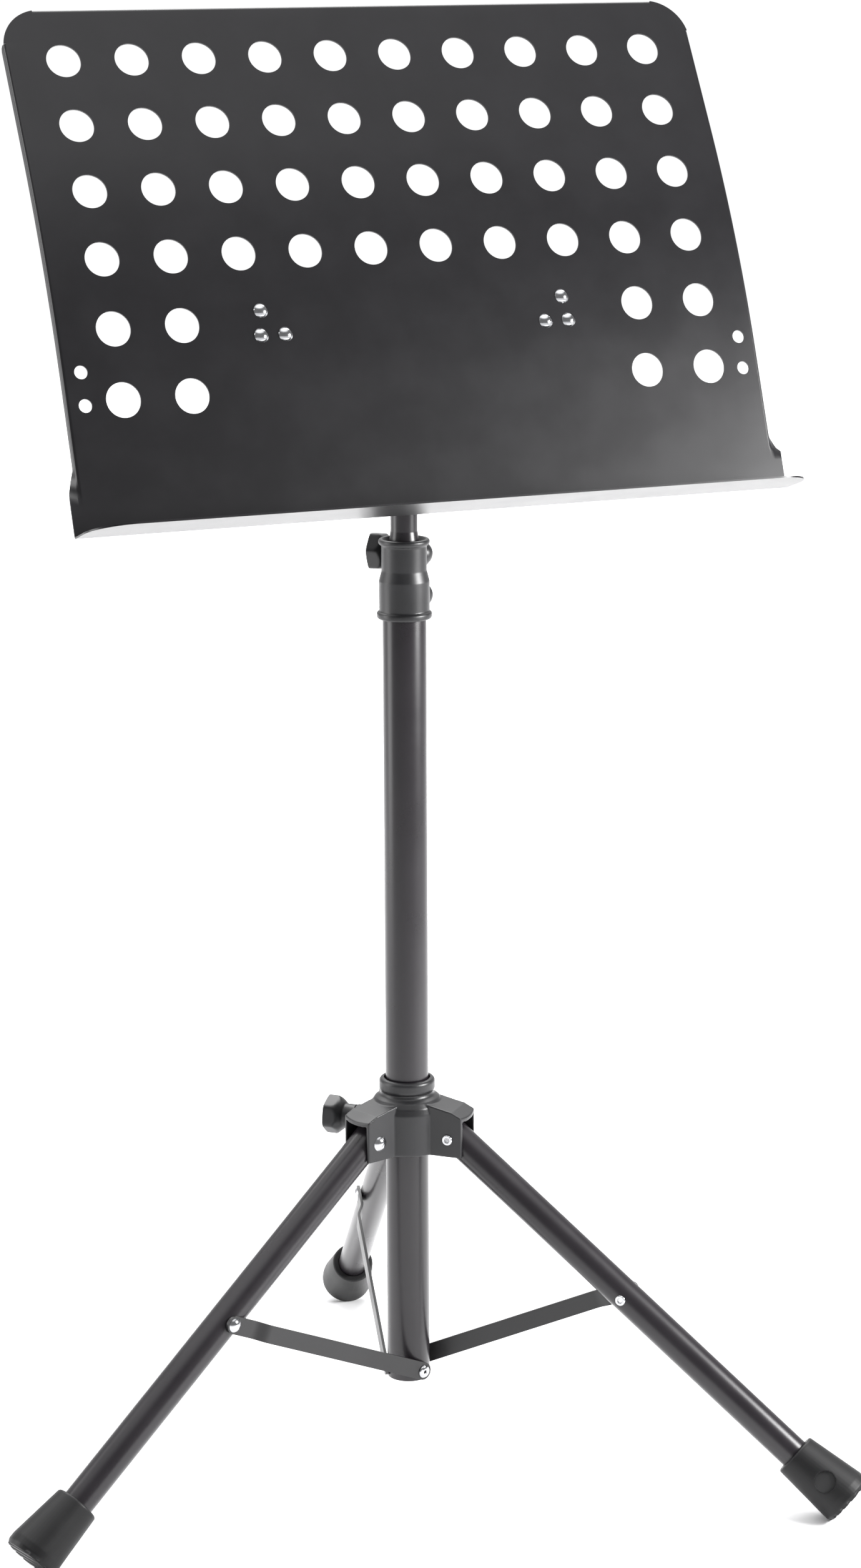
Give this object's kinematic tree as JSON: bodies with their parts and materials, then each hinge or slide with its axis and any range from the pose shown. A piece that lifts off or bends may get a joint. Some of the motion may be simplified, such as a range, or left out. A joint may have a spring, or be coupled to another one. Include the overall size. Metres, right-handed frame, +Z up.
{
  "type": "music stand",
  "caption": "Free-standing orchestral music stand: perforated steel desk with a ledge, tilting on a telescopic column over a folding tripod.",
  "frame": {"origin": "point on the floor straight below the column, on the column's axis", "axes": "+Z up along the column, -Y towards the player whom the desk faces, +X across the desk to the right as the player sees it"},
  "size_m": [0.5811, 0.5685, 1.0163],
  "materials": {
    "desk_coat": "fine-textured satin black powder coat",
    "powder_coat": "smooth semi-gloss black powder coat",
    "black_plastic": "moulded black plastic with a fine grain",
    "rubber": "matt moulded rubber",
    "zinc_rivet": "bright zinc plate",
    "brass": "plain turned",
    "nylon": "dark unpainted nylon"
  },
  "bodies": {
    "column": {"column_tube": "powder_coat", "column_bush": "nylon", "clamp_collar": "black_plastic", "clamp_bolt": "black_plastic", "collar_bolt": "black_plastic", "collar_nut": "zinc_rivet", "brace_pin_left": "zinc_rivet", "brace_pin_right": "zinc_rivet", "brace_pin_rear": "zinc_rivet"},
    "clamp_grip": {"clamp_knob": "black_plastic", "clamp_nut": "brass"},
    "guide": {"rod_guide": "nylon"},
    "rod": {"inner_rod": "powder_coat", "tilt_head": "black_plastic", "friction_sleeve": "nylon", "tilt_bolt": "zinc_rivet", "tilt_nut": "zinc_rivet", "head_pin": "zinc_rivet"},
    "desk": {"desk_plate": "desk_coat", "bracket_left": "powder_coat", "bracket_right": "powder_coat", "desk_rivets": "zinc_rivet", "tilt_tube": "powder_coat", "tube_plugs": "black_plastic", "tube_screws": "zinc_rivet"},
    "hub": {"hub_body": "black_plastic", "hub_insert": "brass", "brake_pad": "nylon", "leg_pivot_left": "zinc_rivet", "leg_pivot_right": "zinc_rivet", "leg_pivot_rear": "zinc_rivet"},
    "hub_grip": {"hub_knob": "black_plastic", "hub_screw": "zinc_rivet"},
    "leg_left": {"leg_left": "powder_coat", "foot_left": "rubber", "foot_disc_left": "rubber", "rivet_tail_left": "zinc_rivet"},
    "leg_right": {"leg_right": "powder_coat", "foot_right": "rubber", "foot_disc_right": "rubber", "rivet_tail_right": "zinc_rivet"},
    "leg_rear": {"leg_rear": "powder_coat", "foot_rear": "rubber", "foot_disc_rear": "rubber", "rivet_tail_rear": "zinc_rivet"},
    "brace_left": {"brace_left": "powder_coat", "rivet_head_left": "zinc_rivet"},
    "brace_right": {"brace_right": "powder_coat", "rivet_head_right": "zinc_rivet"},
    "brace_rear": {"brace_rear": "powder_coat", "rivet_head_rear": "zinc_rivet"}
  },
  "joints": [
    {"name": "rod_slide", "type": "slide", "parent": "column", "child": "guide", "axis": [0, 0, 1], "range_m": [0, 0.38]},
    {"name": "rod_swivel", "type": "hinge", "parent": "guide", "child": "rod", "pos_m": [0, 0, 0.16], "axis": [0, 0, 1], "continuous": true},
    {"name": "desk_tilt", "type": "hinge", "parent": "rod", "child": "desk", "pos_m": [0, 0, 0.812], "axis": [-1, 0, 0], "range_deg": [-22, 60]},
    {"name": "clamp_knob_turn", "type": "hinge", "parent": "column", "child": "clamp_grip", "pos_m": [0.01402, 0.01426, 0.6506], "axis": [-0.7133, 0.7009, 0], "range_deg": [0, 360]},
    {"name": "hub_slide", "type": "slide", "parent": "column", "child": "hub", "axis": [0, 0, 1], "range_m": [0, 0.1597]},
    {"name": "hub_knob_turn", "type": "hinge", "parent": "hub", "child": "hub_grip", "pos_m": [-0.03566, 0.03504, 0.249], "axis": [-0.7133, 0.7009, 0], "range_deg": [0, 360]},
    {"name": "leg_left_fold", "type": "hinge", "parent": "hub", "child": "leg_left", "pos_m": [-0.03373, -0.00935, 0.244], "axis": [0.2672, -0.9636, 0], "range_deg": [0, 49]},
    {"name": "leg_right_fold", "type": "hinge", "parent": "hub", "child": "leg_right", "pos_m": [0.02496, -0.02453, 0.244], "axis": [0.7009, 0.7133, 0], "range_deg": [0, 49]},
    {"name": "leg_rear_fold", "type": "hinge", "parent": "hub", "child": "leg_rear", "pos_m": [0.00876, 0.03388, 0.244], "axis": [-0.9681, 0.2504, 0], "range_deg": [0, 49]},
    {"name": "brace_left_fold", "type": "hinge", "parent": "column", "child": "brace_left", "pos_m": [0.00436, -0.01571, 0.068], "axis": [-0.2672, 0.9636, 0], "range_deg": [0, 52.33]},
    {"name": "brace_right_fold", "type": "hinge", "parent": "column", "child": "brace_right", "pos_m": [0.01142, 0.01163, 0.068], "axis": [-0.7009, -0.7133, 0], "range_deg": [0, 52.33]},
    {"name": "brace_rear_fold", "type": "hinge", "parent": "column", "child": "brace_rear", "pos_m": [-0.01578, 0.00408, 0.068], "axis": [0.9681, -0.2504, 0], "range_deg": [0, 52.33]}
  ],
  "couplings": [
    {"joint": "leg_left_fold", "follows": "hub_slide", "rad_per_m": 5.355},
    {"joint": "leg_right_fold", "follows": "hub_slide", "rad_per_m": 5.355},
    {"joint": "leg_rear_fold", "follows": "hub_slide", "rad_per_m": 5.355},
    {"joint": "brace_left_fold", "follows": "hub_slide", "rad_per_m": 5.718},
    {"joint": "brace_right_fold", "follows": "hub_slide", "rad_per_m": 5.718},
    {"joint": "brace_rear_fold", "follows": "hub_slide", "rad_per_m": 5.718}
  ]
}
